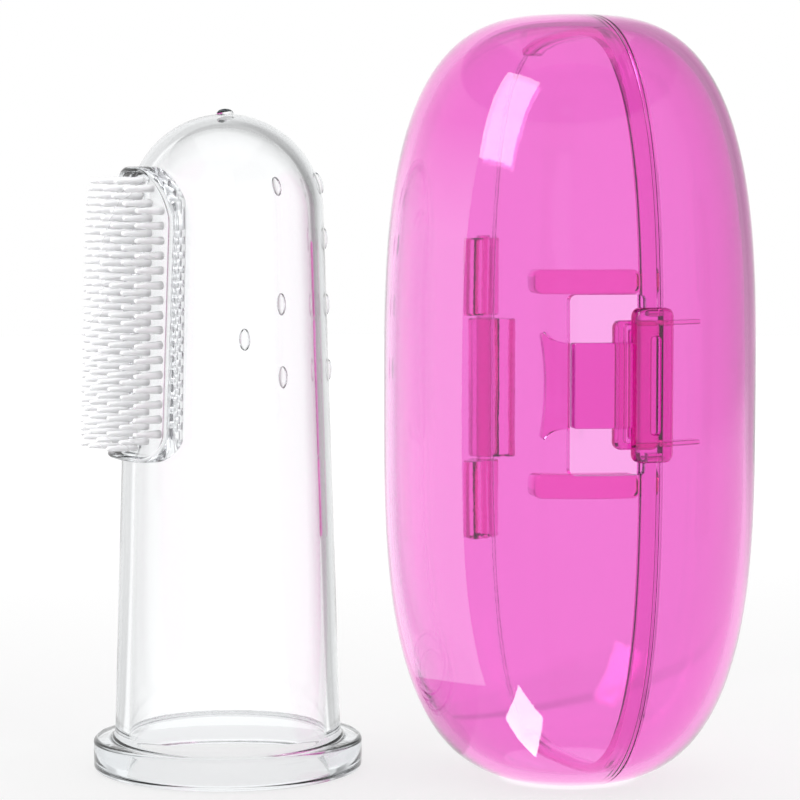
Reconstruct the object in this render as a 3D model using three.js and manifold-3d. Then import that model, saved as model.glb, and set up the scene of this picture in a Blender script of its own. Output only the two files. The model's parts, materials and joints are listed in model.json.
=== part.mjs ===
// Finger toothbrush with its storage case. Millimetres, +Z up.
// The brush stands on its stop flange; the case stands on a small flat at its lower end.
import * as THREE from 'three';
import { mergeVertices } from 'three/addons/utils/BufferGeometryUtils.js';
import Module from 'manifold-3d';

// Layout: the axes of the two objects, and how far each is turned about its own axis.
const BRUSH_AT = new THREE.Vector3(-16.57, 3.5, 0);
const BRUSH_TURN = 4.6;
const CASE_AT = new THREE.Vector2(13.43, -0.46);
const CASE_TURN = 24.5;

// Finger brush.
const BRUSH_HEIGHT = 57.8;
const MOUTH_RADIUS = 10.1;
const DOME_RADIUS = 8.6;
const SLEEVE_WALL = 1.2;
const FLANGE_RADIUS = 11.9;
const FLANGE_THICKNESS = 2.8;
const FLANGE_EDGE = 0.4;
const FILLET = 0.7;

// Bristle pad, on the side of the sleeve.
const PAD_AZIMUTH = 202;
const PAD_HALF_WIDTH = 6.3;
const PAD_BOTTOM = 27.8;
const PAD_TOP = 53.2;
const PAD_BOTTOM_CORNER = 2.6;
const PAD_TOP_CORNER = 5;
const PAD_THICKNESS = 0.95;
const PAD_REACH = { from: 2, to: 14 };
const PAD_ZONE = 20;
const BORDER_WIDTH = 0.5;
const BORDER_HEIGHT = 0.3;
const BRISTLE_LENGTH = 2.85;
const BRISTLE_ROOT = 0.36;
const BRISTLE_TIP = 0.22;
const BRISTLE_SIDES = 4;
const BRISTLE_SUNK = 0.15;
const BRISTLE_PITCH = 1.27;
const BRISTLE_COLUMNS = 9;
const COLUMN_ANGLE = 8;
const FIRST_ROW = 1.3;
const FAN = 0.55;

// Massage nubs, opposite the pad: azimuth and height on the sleeve, or tilt above the horizon on the dome.
const NUB_SIZE = new THREE.Vector3(0.45, 0.55, 1.0);
const SLEEVE_NUBS = [
  { azimuth: 8, heights: [35.2, 41, 46.8] },
  { azimuth: 50, heights: [34.2, 40.8] },
  { azimuth: 77, heights: [37.5] },
];
const DOME_NUBS = [{ azimuth: 8, tilt: 17 }, { azimuth: 50, tilt: 17 }, { azimuth: 50, tilt: 90 }];

// Case: a superellipsoid of revolution, split by a plane through its axis.
const CASE_RADIUS = 16.1;
const CASE_HALF_LENGTH = 33.25;
const CASE_POWER = 3.1;
const CASE_WALL = 0.95;
const FOOT_CUT = 0.3;
const LID_LIFT = 0.1;
const SEAM_GAP = 0.1;

// Hinge, on the +Y side of the case.
const HINGE_OUT = 1.8;
const KNUCKLE_RADIUS = 1.5;
const LEAF = { offset: 0.35, width: 2.15, reach: 2.6 };
const OUTER_KNUCKLE = 7.1;
const MIDDLE_KNUCKLE = 12.7;
const KNUCKLE_GAP = 0.35;
const PIN_RADIUS = 0.65;
const PIN_CLEARANCE = 0.08;
const PIN_PROUD = 0.2;

// Latch, on the -Y side. Widths run along the shell from the latch direction, heights from its middle.
const LATCH_RISE = 2.4;
const LATCH_ANGLE = 12;
const THUMB_ANGLE = 3.7;
const LATCH_REACH = { from: 8, to: 20 };
const WINDOW = { from: -4.3, to: 1.95, half: 7.4 };
const RIM_NOTCH = { from: 1.9, to: 3.8, half: 5.6 };
const ROOT = { from: -6.7, to: -4.45, half: 3.5, flare: 0.9, proud: 0.6 };
const TONGUE = { from: -4.1, to: 0.45, half: 3.5, thickness: 0.8, proud: 0.5 };
const HEAD = { from: -0.7, to: 3, half: 5.3 };
const NOSE = { from: 0.75, to: 1.55, half: 4.5, depth: 1.5 };
const CATCH = { from: -0.1, to: 7.3, half: 5.2, depth: 2.4, bar: 0.65, fin: 0.4 };
const THUMB_BAR = { width: 3.4, height: 12.7, proud: 1.3, corner: 0.7, gap: 0.15 };
const THUMB_GROOVE = { width: 0.8, height: 8.2, depth: 0.5, corner: 0.3 };
const RIB = { from: -6.7, to: 1.75, thickness: 2, depth: 2 };

// Locating lip inside the lid's rim.
const LIP_REACH = 1.2;
const LIP_ROOT = 0.6;
const LIP_THICKNESS = 0.6;
const LIP_GAP = 0.15;
const LIP_CLEAR = 0.9;
const LIP_END = 8;

// Hairline between neighbouring members of one moulding.
const HAIRLINE = 0.1;
// How far two shapes run into each other before they are joined.
const JOIN = 0.05;
const ROUND = 40;

const radians = THREE.MathUtils.degToRad;

// A point at an azimuth and radius about the Z axis.
function around(azimuth, radius, height) {
  const angle = radians(azimuth);
  return new THREE.Vector3(radius * Math.cos(angle), radius * Math.sin(angle), height);
}

const wasm = await Module();
wasm.setup();

// Closed geometry to a manifold solid, and back.
function toSolid(geometry) {
  const bare = geometry.index ? geometry.toNonIndexed() : geometry.clone();
  bare.deleteAttribute('normal');
  bare.deleteAttribute('uv');
  const merged = mergeVertices(bare, 1e-5);
  const index = Array.from(merged.index.array);
  const triangles = [];
  for (let i = 0; i < index.length; i += 3) {
    const [a, b, c] = index.slice(i, i + 3);
    if (a !== b && b !== c && c !== a) triangles.push(a, b, c);
  }
  return new wasm.Manifold(new wasm.Mesh({
    numProp: 3,
    vertProperties: new Float32Array(merged.attributes.position.array),
    triVerts: new Uint32Array(triangles),
  }));
}

function toGeometry(solid) {
  const mesh = solid.getMesh();
  const geometry = new THREE.BufferGeometry();
  const positions = new Float32Array(mesh.numVert * 3);
  for (let i = 0; i < mesh.numVert; i += 1) {
    for (let k = 0; k < 3; k += 1) positions[3 * i + k] = mesh.vertProperties[mesh.numProp * i + k];
  }
  geometry.setAttribute('position', new THREE.BufferAttribute(positions, 3));
  geometry.setIndex(new THREE.BufferAttribute(new Uint32Array(mesh.triVerts), 1));
  geometry.computeVertexNormals();
  return geometry;
}

// A solid of revolution about Z from a profile of [radius, height] points, listed upwards.
function turned(profile, segments = ROUND) {
  const points = profile.map(([radius, height]) => new THREE.Vector2(radius, height));
  const geometry = new THREE.LatheGeometry(points, segments);
  geometry.rotateX(Math.PI / 2);
  return toSolid(geometry);
}

function block(minimum, maximum) {
  const size = maximum.map((value, i) => value - minimum[i]);
  const geometry = new THREE.BoxGeometry(...size);
  geometry.translate(...maximum.map((value, i) => (value + minimum[i]) / 2));
  return toSolid(geometry);
}

function rod(radius, bottom, top, at, segments = 20) {
  const geometry = new THREE.CylinderGeometry(radius, radius, top - bottom, segments);
  geometry.rotateX(Math.PI / 2);
  geometry.translate(at.x, at.y, (top + bottom) / 2);
  return toSolid(geometry);
}

function roundedOutline(halfWidth, bottom, top, bottomCorner, topCorner) {
  const shape = new THREE.Shape();
  shape.moveTo(-halfWidth + bottomCorner, bottom);
  shape.lineTo(halfWidth - bottomCorner, bottom);
  shape.absarc(halfWidth - bottomCorner, bottom + bottomCorner, bottomCorner, -Math.PI / 2, 0);
  shape.lineTo(halfWidth, top - topCorner);
  shape.absarc(halfWidth - topCorner, top - topCorner, topCorner, 0, Math.PI / 2);
  shape.lineTo(-halfWidth + topCorner, top);
  shape.absarc(-halfWidth + topCorner, top - topCorner, topCorner, Math.PI / 2, Math.PI);
  shape.lineTo(-halfWidth, bottom + bottomCorner);
  shape.absarc(-halfWidth + bottomCorner, bottom + bottomCorner, bottomCorner, Math.PI, 1.5 * Math.PI);
  return shape;
}

// A prism of an outline drawn on a vertical plane that faces azimuth, reaching out from the axis.
function facingPrism(shape, azimuth, from, to, curveSegments = 6) {
  const outward = around(azimuth, 1, 0);
  const up = new THREE.Vector3(0, 0, 1);
  const across = new THREE.Vector3().crossVectors(up, outward);
  const geometry = new THREE.ExtrudeGeometry(shape, { depth: to - from, bevelEnabled: false, curveSegments });
  const placed = new THREE.Matrix4().makeBasis(across, up, outward);
  placed.setPosition(outward.clone().multiplyScalar(from));
  geometry.applyMatrix4(placed);
  return toSolid(geometry);
}

// ---- Finger brush -------------------------------------------------------------------------------

const DOME_CENTRE = BRUSH_HEIGHT - DOME_RADIUS;

function sleeveRadius(height) {
  const along = Math.min(height / DOME_CENTRE, 1);
  const side = THREE.MathUtils.lerp(MOUTH_RADIUS, DOME_RADIUS, along);
  const above = Math.max(height - DOME_CENTRE, 0);
  return Math.sqrt(Math.max(side * side - above * above, 0));
}

// The outside of the sleeve grown by an offset, as a solid from the given height up.
function sleeveForm(offset, from) {
  const profile = [[0, from], [sleeveRadius(Math.max(from, 0)) + offset, from]];
  const arcSteps = 8;
  for (let i = 0; i <= arcSteps; i += 1) {
    const angle = (i / arcSteps) * (Math.PI / 2);
    const radius = i === arcSteps ? 0 : (DOME_RADIUS + offset) * Math.cos(angle);
    profile.push([radius, DOME_CENTRE + (DOME_RADIUS + offset) * Math.sin(angle)]);
  }
  return turned(profile);
}

function fingerSleeve() {
  return sleeveForm(0, 0).subtract(sleeveForm(-SLEEVE_WALL, -1));
}

// A ring with eased edges, and a fillet where it meets the sleeve.
function stopFlange() {
  const bore = sleeveRadius(0) + HAIRLINE;
  const profile = [
    [bore, 0],
    [FLANGE_RADIUS - FLANGE_EDGE, 0],
    [FLANGE_RADIUS, FLANGE_EDGE],
    [FLANGE_RADIUS, FLANGE_THICKNESS - FLANGE_EDGE],
    [FLANGE_RADIUS - FLANGE_EDGE, FLANGE_THICKNESS],
  ];
  const filletSteps = 3;
  for (let i = 0; i <= filletSteps; i += 1) {
    const angle = (i / filletSteps) * (Math.PI / 2);
    profile.push([bore + FILLET * (1 - Math.sin(angle)), FLANGE_THICKNESS + FILLET * (1 - Math.cos(angle))]);
  }
  profile.push([bore, 0]);
  return turned(profile);
}

// The pad's plate: a raised border round a sunk field, wrapped on the sleeve.
function padPlate() {
  const inset = (margin) => {
    const outline = roundedOutline(
      PAD_HALF_WIDTH - margin,
      PAD_BOTTOM + margin,
      PAD_TOP - margin,
      PAD_BOTTOM_CORNER - margin,
      PAD_TOP_CORNER - margin,
    );
    return facingPrism(outline, PAD_AZIMUTH, PAD_REACH.from, PAD_REACH.to);
  };
  const border = sleeveForm(PAD_THICKNESS + BORDER_HEIGHT, PAD_ZONE).intersect(inset(0));
  const sunkField = inset(BORDER_WIDTH).subtract(sleeveForm(PAD_THICKNESS, PAD_ZONE));
  return border.subtract(sunkField).subtract(sleeveForm(HAIRLINE, PAD_ZONE));
}

// One bristle, standing on the pad at an azimuth and height; the columns fan out from the pad's centre line.
function bristle(azimuth, height) {
  const root = sleeveRadius(height) + PAD_THICKNESS - BRISTLE_SUNK;
  const length = BRISTLE_LENGTH + BRISTLE_SUNK;
  const lean = PAD_AZIMUTH + FAN * (azimuth - PAD_AZIMUTH);
  const geometry = new THREE.CylinderGeometry(BRISTLE_TIP, BRISTLE_ROOT, length, BRISTLE_SIDES);
  geometry.translate(0, length / 2, 0);
  geometry.rotateZ(-Math.PI / 2);
  geometry.rotateZ(radians(lean));
  geometry.translate(...around(azimuth, root, height));
  return toSolid(geometry);
}

// Whether a bristle's root lies on the sunk field, clear of the border and its rounded corners.
function onField(across, height) {
  const margin = BORDER_WIDTH + BRISTLE_ROOT;
  const half = PAD_HALF_WIDTH - margin;
  const upper = height > (PAD_TOP + PAD_BOTTOM) / 2;
  const corner = Math.max((upper ? PAD_TOP_CORNER : PAD_BOTTOM_CORNER) - margin, 0);
  const edge = upper ? PAD_TOP - margin - height : height - PAD_BOTTOM - margin;
  if (Math.abs(across) > half || edge < 0) return false;
  const past = [Math.abs(across) - (half - corner), corner - edge];
  return past[0] < 0 || past[1] < 0 || Math.hypot(...past) < corner;
}

function bristlePad() {
  const pieces = [padPlate()];
  const middle = (BRISTLE_COLUMNS - 1) / 2;
  for (let column = 0; column < BRISTLE_COLUMNS; column += 1) {
    const azimuth = PAD_AZIMUTH + (column - middle) * COLUMN_ANGLE;
    const stagger = (column % 2) * (BRISTLE_PITCH / 2);
    for (let height = PAD_BOTTOM + FIRST_ROW + stagger; height < PAD_TOP; height += BRISTLE_PITCH) {
      const across = (sleeveRadius(height) + PAD_THICKNESS) * Math.sin(radians(azimuth - PAD_AZIMUTH));
      if (onField(across, height)) pieces.push(bristle(azimuth, height));
    }
  }
  return wasm.Manifold.union(pieces);
}

function massageNub(azimuth, centre, tilt) {
  const geometry = new THREE.SphereGeometry(1, 10, 8);
  geometry.scale(NUB_SIZE.x, NUB_SIZE.y, NUB_SIZE.z);
  geometry.rotateY(-radians(tilt));
  geometry.rotateZ(radians(azimuth));
  geometry.translate(centre.x, centre.y, centre.z);
  return toSolid(geometry).subtract(sleeveForm(HAIRLINE, PAD_ZONE));
}

function massageNubs() {
  const nubs = [];
  for (const { azimuth, heights } of SLEEVE_NUBS) {
    for (const height of heights) {
      nubs.push(massageNub(azimuth, around(azimuth, sleeveRadius(height), height), 0));
    }
  }
  for (const { azimuth, tilt } of DOME_NUBS) {
    const height = DOME_CENTRE + DOME_RADIUS * Math.sin(radians(tilt));
    nubs.push(massageNub(azimuth, around(azimuth, DOME_RADIUS * Math.cos(radians(tilt)), height), tilt));
  }
  return nubs;
}

// ---- Case: built about its own centre, lid on +X, latch towards -Y, hinge towards +Y ------------

// The case's outer form grown by an offset.
function caseForm(offset) {
  const radius = CASE_RADIUS + offset;
  const half = CASE_HALF_LENGTH + offset;
  const steps = 18;
  const profile = [];
  for (let i = 0; i <= steps; i += 1) {
    const angle = Math.PI * (i / steps - 0.5);
    const out = i === 0 || i === steps ? 0 : radius * Math.cos(angle) ** (2 / CASE_POWER);
    profile.push([out, half * Math.sign(angle) * Math.abs(Math.sin(angle)) ** (2 / CASE_POWER)]);
  }
  return turned(profile, 40);
}

const skin = (outer, inner) => caseForm(outer).subtract(caseForm(inner));

const BIG = 60;
const FLOOR = -CASE_HALF_LENGTH + FOOT_CUT;

function latchPatch({ from, to, half }, centre = LATCH_RISE) {
  const shape = new THREE.Shape();
  shape.moveTo(from, centre - half);
  shape.lineTo(to, centre - half);
  shape.lineTo(to, centre + half);
  shape.lineTo(from, centre + half);
  return facingPrism(shape, 270 - LATCH_ANGLE, LATCH_REACH.from, LATCH_REACH.to);
}

function mainShell() {
  const half = block([-BIG, -BIG, FLOOR], [-SEAM_GAP / 2, BIG, BIG]);
  return skin(0, -CASE_WALL).intersect(half).subtract(latchPatch(WINDOW)).subtract(latchPatch(RIM_NOTCH));
}

function lidShell() {
  const half = block([SEAM_GAP / 2, -BIG, FLOOR + LID_LIFT], [BIG, BIG, BIG]);
  return skin(0, -CASE_WALL).intersect(half);
}

function windowRib(side) {
  const centre = LATCH_RISE + side * (WINDOW.half + RIB.thickness / 2);
  const outer = -CASE_WALL - HAIRLINE;
  const patch = latchPatch({ ...RIB, half: RIB.thickness / 2 }, centre);
  return skin(outer, outer - RIB.depth).intersect(patch);
}

function tongueRoot() {
  const { from, to, half, flare, proud } = ROOT;
  const waist = from + 0.7;
  const shape = new THREE.Shape();
  shape.moveTo(from, LATCH_RISE - half - flare);
  shape.quadraticCurveTo(waist, LATCH_RISE - half, to, LATCH_RISE - half);
  shape.lineTo(to, LATCH_RISE + half);
  shape.quadraticCurveTo(waist, LATCH_RISE + half, from, LATCH_RISE + half + flare);
  shape.quadraticCurveTo(waist, LATCH_RISE, from, LATCH_RISE - half - flare);
  const prism = facingPrism(shape, 270 - LATCH_ANGLE, LATCH_REACH.from, LATCH_REACH.to);
  return skin(proud, HAIRLINE).intersect(prism);
}

// The springy strip, its wider head, and the nose on the head's inner face.
function latchTongue() {
  const strip = skin(TONGUE.proud, -TONGUE.thickness).intersect(latchPatch(TONGUE));
  const head = skin(0, -TONGUE.thickness).intersect(latchPatch(HEAD));
  const nose = skin(JOIN - TONGUE.thickness, -NOSE.depth).intersect(latchPatch(NOSE));
  return strip.add(head).add(nose);
}

function thumbBar() {
  const { width, height, proud, corner, gap } = THUMB_BAR;
  const half = height / 2;
  const outline = roundedOutline(width / 2, LATCH_RISE - half, LATCH_RISE + half, corner, corner);
  const azimuth = 270 - THUMB_ANGLE;
  const bar = facingPrism(outline, azimuth, CASE_RADIUS - 0.5, CASE_RADIUS + proud, 3);
  const groove = roundedOutline(
    THUMB_GROOVE.width / 2,
    LATCH_RISE - THUMB_GROOVE.height / 2,
    LATCH_RISE + THUMB_GROOVE.height / 2,
    THUMB_GROOVE.corner,
    THUMB_GROOVE.corner,
  );
  const grooveFloor = CASE_RADIUS + proud - THUMB_GROOVE.depth;
  const cut = facingPrism(groove, azimuth, grooveFloor, LATCH_REACH.to, 3);
  return bar.subtract(caseForm(gap)).subtract(cut);
}

// Two fins on the lid's wall that reach under the latch's head, joined by the bar that the nose hooks behind.
function lidCatch() {
  const { from, to, half, depth, bar, fin } = CATCH;
  const between = latchPatch({ from: from + bar, to: to + 1, half: half - fin });
  return skin(-CASE_WALL - HAIRLINE, -depth).intersect(latchPatch(CATCH)).subtract(between);
}

function lidLip(side) {
  const outer = -CASE_WALL - LIP_GAP;
  const clear = LATCH_RISE + side * (CATCH.half + LIP_CLEAR);
  const span = side > 0 ? [clear, BIG] : [-BIG, clear];
  const zone = block([-LIP_REACH, -BIG, span[0]], [LIP_ROOT, LIP_END, span[1]]);
  return skin(outer, outer - LIP_THICKNESS).intersect(zone);
}

const HINGE_AT = new THREE.Vector2(0, CASE_RADIUS + HINGE_OUT);

// A knuckle with its leaf on the main shell's side (-1) or the lid's side (+1).
function hingeKnuckle(bottom, top, side) {
  const barrel = rod(KNUCKLE_RADIUS, bottom, top, HINGE_AT);
  const near = side < 0 ? -LEAF.offset - LEAF.width : LEAF.offset;
  const leafBlock = block([near, CASE_RADIUS - LEAF.reach, bottom], [near + LEAF.width, HINGE_AT.y, top]);
  const leaf = leafBlock.subtract(caseForm(HAIRLINE));
  const bore = rod(PIN_RADIUS + PIN_CLEARANCE, bottom - 1, top + 1, HINGE_AT);
  return barrel.add(leaf).subtract(bore);
}

const MIDDLE_TOP = MIDDLE_KNUCKLE / 2;
const OUTER_FROM = MIDDLE_TOP + KNUCKLE_GAP;
const OUTER_TO = OUTER_FROM + OUTER_KNUCKLE;

function hingePin() {
  return rod(PIN_RADIUS, -OUTER_TO - PIN_PROUD, OUTER_TO + PIN_PROUD, HINGE_AT, 16);
}

// ---- Materials and assembly ---------------------------------------------------------------------

function finish(color, roughness, opacity) {
  return new THREE.MeshStandardMaterial({ color, roughness, metalness: 0, transparent: true, opacity });
}

function named(name, solid, material) {
  const mesh = new THREE.Mesh(toGeometry(solid), material());
  mesh.name = name;
  return mesh;
}

const silicone = () => finish(0xe9edf0, 0.16, 0.45);
const pinkPlastic = () => finish(0xeb63c4, 0.12, 0.6);

const brush = new THREE.Group();
brush.position.copy(BRUSH_AT);
brush.rotation.z = radians(BRUSH_TURN);
brush.add(named('finger_sleeve', fingerSleeve(), silicone));
brush.add(named('stop_flange', stopFlange(), silicone));
brush.add(named('bristle_pad', bristlePad(), silicone));
massageNubs().forEach((nub, i) => brush.add(named(`massage_nub_${i + 1}`, nub, silicone)));

const storageCase = new THREE.Group();
storageCase.position.set(CASE_AT.x, CASE_AT.y, -FLOOR);
storageCase.rotation.z = radians(CASE_TURN);
const casePieces = {
  main_shell: mainShell(),
  window_rib_upper: windowRib(1),
  window_rib_lower: windowRib(-1),
  tongue_root: tongueRoot(),
  hinge_knuckle_upper: hingeKnuckle(OUTER_FROM, OUTER_TO, -1),
  hinge_knuckle_lower: hingeKnuckle(-OUTER_TO, -OUTER_FROM, -1),
  hinge_pin: hingePin(),
  latch_tongue: latchTongue(),
  thumb_bar: thumbBar(),
  lid_shell: lidShell(),
  lid_catch: lidCatch(),
  lid_lip_upper: lidLip(1),
  lid_lip_lower: lidLip(-1),
  hinge_knuckle_middle: hingeKnuckle(-MIDDLE_TOP, MIDDLE_TOP, 1),
};
for (const [name, solid] of Object.entries(casePieces)) storageCase.add(named(name, solid, pinkPlastic));

const fingerToothbrush = new THREE.Group();
fingerToothbrush.add(brush, storageCase);

export default fingerToothbrush;
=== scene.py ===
"""Finger toothbrush and its storage case: the looks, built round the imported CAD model.

Lengths are in millimetres in each object's own frame until they are placed; the scene is in metres.
The brush stands on its stop flange. The case is built about its own centre: lid on +X, latch
towards -Y, hinge towards +Y.
"""
import json
import math

import bmesh
import bpy
from mathutils import Matrix, Vector, noise
from mathutils.geometry import delaunay_2d_cdt

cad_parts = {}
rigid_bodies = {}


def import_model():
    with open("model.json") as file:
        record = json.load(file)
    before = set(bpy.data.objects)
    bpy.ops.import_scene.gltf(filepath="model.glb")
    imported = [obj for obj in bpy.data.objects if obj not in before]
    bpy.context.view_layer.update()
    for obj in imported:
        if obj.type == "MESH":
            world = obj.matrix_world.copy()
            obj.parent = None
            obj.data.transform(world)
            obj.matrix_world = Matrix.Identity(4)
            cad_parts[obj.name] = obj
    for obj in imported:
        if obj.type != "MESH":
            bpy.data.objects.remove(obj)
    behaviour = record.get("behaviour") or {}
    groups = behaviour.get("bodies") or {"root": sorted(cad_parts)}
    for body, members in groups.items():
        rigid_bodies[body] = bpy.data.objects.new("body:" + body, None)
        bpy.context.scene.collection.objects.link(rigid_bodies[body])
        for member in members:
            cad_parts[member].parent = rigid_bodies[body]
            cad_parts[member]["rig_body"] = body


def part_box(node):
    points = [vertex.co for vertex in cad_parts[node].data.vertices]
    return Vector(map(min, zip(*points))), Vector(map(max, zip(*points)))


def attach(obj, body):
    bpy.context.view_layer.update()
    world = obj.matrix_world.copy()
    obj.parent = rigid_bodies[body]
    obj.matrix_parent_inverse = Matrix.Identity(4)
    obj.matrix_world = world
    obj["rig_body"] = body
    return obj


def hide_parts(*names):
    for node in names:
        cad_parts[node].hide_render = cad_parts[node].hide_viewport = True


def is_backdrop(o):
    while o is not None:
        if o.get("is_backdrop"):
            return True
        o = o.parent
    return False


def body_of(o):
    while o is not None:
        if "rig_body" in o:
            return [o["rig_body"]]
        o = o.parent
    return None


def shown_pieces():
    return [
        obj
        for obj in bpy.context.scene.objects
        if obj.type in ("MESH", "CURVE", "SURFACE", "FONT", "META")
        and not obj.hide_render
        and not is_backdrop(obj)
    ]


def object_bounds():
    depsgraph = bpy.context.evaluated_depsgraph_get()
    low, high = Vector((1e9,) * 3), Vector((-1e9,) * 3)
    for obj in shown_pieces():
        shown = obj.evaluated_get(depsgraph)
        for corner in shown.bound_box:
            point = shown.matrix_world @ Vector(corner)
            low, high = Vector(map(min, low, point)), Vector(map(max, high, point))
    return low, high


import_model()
cad_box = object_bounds()

MM = 0.001
PI = math.pi

# ---- Design values, most of them as in the CAD model --------------------------------------------

BRUSH_TURN = 4.6
BRUSH_HEIGHT = 57.8
MOUTH_RADIUS = 10.1
DOME_RADIUS = 8.6
SLEEVE_WALL = 1.2
FLANGE_RADIUS = 11.9
FLANGE_THICKNESS = 2.8
FILLET = 0.7
DOME_CENTRE = BRUSH_HEIGHT - DOME_RADIUS

PAD_AZIMUTH = 202
PAD_HALF_WIDTH = 6.3
PAD_BOTTOM = 27.8
PAD_TOP = 53.2
PAD_BOTTOM_CORNER = 2.6
PAD_TOP_CORNER = 5
PAD_THICKNESS = 0.95
BORDER_WIDTH = 0.5
BORDER_HEIGHT = 0.3
BRISTLE_LENGTH = 2.85
BRISTLE_ROOT = 0.36
BRISTLE_TIP = 0.22
BRISTLE_SUNK = 0.05
BRISTLE_PITCH = 1.27
BRISTLE_COLUMNS = 9
COLUMN_ANGLE = 8
FIRST_ROW = 1.3
FAN = 0.55

NUB_SIZE = (0.45, 0.55, 1.0)
SLEEVE_NUBS = {8: (35.2, 41, 46.8), 50: (34.2, 40.8), 77: (37.5,)}
DOME_NUBS = ((8, 17), (50, 17), (50, 90))

CASE_TURN = 24.5
CASE_RADIUS = 16.1
CASE_HALF_LENGTH = 33.25
CASE_POWER = 3.1
CASE_WALL = 0.95
FOOT_CUT = 0.3
LID_LIFT = 0.1
SEAM_GAP = 0.03
RIM_ROUND = 0.07

HINGE_OUT = 1.8
HINGE_Y = CASE_RADIUS + HINGE_OUT
KNUCKLE_RADIUS = 1.5
LEAF_OFFSET = 0.35
LEAF_WIDTH = 2.15
LEAF_SUNK = 0.9
OUTER_KNUCKLE = 7.1
MIDDLE_KNUCKLE = 12.7
KNUCKLE_GAP = 0.35
PIN_RADIUS = 0.65
PIN_CLEARANCE = 0.08
PIN_PROUD = 0.2

# Latch, towards -Y. Each outline is (from, to, half height) in mm, across the direction it faces.
LATCH_RISE = 2.4
LATCH_FACING = 270 - 12
THUMB_FACING = 270 - 3.7
WINDOW = (-4.3, 2.05, 7.4)
RIM_NOTCH = (1.5, 3.8, 5.6)
TONGUE = (-4.1, 1.2, 3.5)
TONGUE_INNER = -0.8
TONGUE_PROUD = 0.5
HEAD = (-0.7, 3, 5.3)
NOSE = (0.75, 1.55, 4.5)
NOSE_DEPTH = 1.5
BRIDGE = (0.9, 2.8, 5.1)
THUMB_BAR = (-1.7, 1.7, 6.35)
BAR_SHOULDER = 0.85
BAR_ROUND = 0.45
BAR_GAP = 0.13
THUMB_GROOVE = (-0.45, 0.45, 4.1)
GROOVE_FLOOR = 0.75
RIB_SPAN = (-6.7, 1.75)
RIB_HALF = 1
RIB_DEPTH = 2.1
CATCH_DEPTH = 2.4
SEAT = (3.8, 7.2, 0.17)
SEAT_RISE = 5

# Locating lip inside the lid's rim. It starts LIP_START above and below the latch's middle and ends near the
# case's ends, about LIP_END past the axis. The section is (x, offset from the case's outer form).
LIP_START = 6.1
LIP_END = 8
LIP_SECTION = ((-1.2, -1.1), (-1.2, -1.75), (0.6, -1.75), (0.6, -0.7), (0.05, -0.7), (0.05, -1.1))

FLOOR = -CASE_HALF_LENGTH + FOOT_CUT
MIDDLE_TOP = MIDDLE_KNUCKLE / 2
OUTER_FROM = MIDDLE_TOP + KNUCKLE_GAP
OUTER_TO = OUTER_FROM + OUTER_KNUCKLE


def box_centre(name):
    """The middle of a CAD node's box."""
    low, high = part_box(name)
    return (low + high) / 2


def placed(origin, turn):
    """Millimetres in an object's own frame to metres in the scene."""
    return Matrix.Translation(origin) @ Matrix.Rotation(math.radians(turn), 4, "Z") @ Matrix.Scale(MM, 4)


flange_at = box_centre("stop_flange")
pin_at = box_centre("hinge_pin")
turned_out = Vector((-math.sin(math.radians(CASE_TURN)), math.cos(math.radians(CASE_TURN)), 0))
BRUSH_PLACE = placed(Vector((flange_at.x, flange_at.y, 0)), BRUSH_TURN)
CASE_PLACE = placed(pin_at - turned_out * HINGE_Y * MM, CASE_TURN)

# ---- Mesh helpers -------------------------------------------------------------------------------

CRISP_ANGLE = 32


def make(name, verts, faces):
    """A new object with outward faces, its doubled and loose points removed."""
    mesh = bpy.data.meshes.new(name)
    mesh.from_pydata([tuple(v) for v in verts], [], faces)
    mesh.validate()
    obj = bpy.data.objects.new(name, mesh)
    bpy.context.scene.collection.objects.link(obj)
    clean(obj)
    return obj


def clean(obj):
    """Merges doubled points, drops loose ones and turns the faces outwards."""
    bm = bmesh.new()
    bm.from_mesh(obj.data)
    bmesh.ops.remove_doubles(bm, verts=bm.verts, dist=1e-4)
    bmesh.ops.delete(bm, geom=[v for v in bm.verts if not v.link_faces], context="VERTS")
    bmesh.ops.recalc_face_normals(bm, faces=bm.faces)
    bm.to_mesh(obj.data)
    bm.free()


def apply_modifiers(obj):
    """Makes the result of the object's modifiers its own mesh."""
    graph = bpy.context.evaluated_depsgraph_get()
    mesh = bpy.data.meshes.new_from_object(obj.evaluated_get(graph))
    obj.modifiers.clear()
    obj.data = mesh


def closed(obj):
    """Stops the script if a mesh isn't closed, because the joins and cuts need closed ones."""
    bm = bmesh.new()
    bm.from_mesh(obj.data)
    open_edges = sum(not edge.is_manifold for edge in bm.edges)
    bm.free()
    if open_edges:
        raise ValueError(f"{obj.name} has {open_edges} open edges")


def combine(obj, others, operation):
    """obj joined with, or cut by, the others, which are used up."""
    for each in (obj, *others):
        closed(each)
    for other in others:
        step = obj.modifiers.new("join", "BOOLEAN")
        step.operation = operation
        step.solver = "MANIFOLD"
        step.object = other
    apply_modifiers(obj)
    for other in others:
        bpy.data.objects.remove(other)
    return obj


def finished(obj, place):
    """Puts a finished mesh in the scene: smooth faces, with edges sharper than CRISP_ANGLE kept crisp."""
    obj.data.transform(place)
    mesh = obj.data
    mesh.shade_smooth()
    bm = bmesh.new()
    bm.from_mesh(mesh)
    limit = math.radians(CRISP_ANGLE)
    for edge in bm.edges:
        if len(edge.link_faces) == 2:
            edge.smooth = edge.calc_face_angle(0) < limit
    bm.to_mesh(mesh)
    bm.free()


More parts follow.
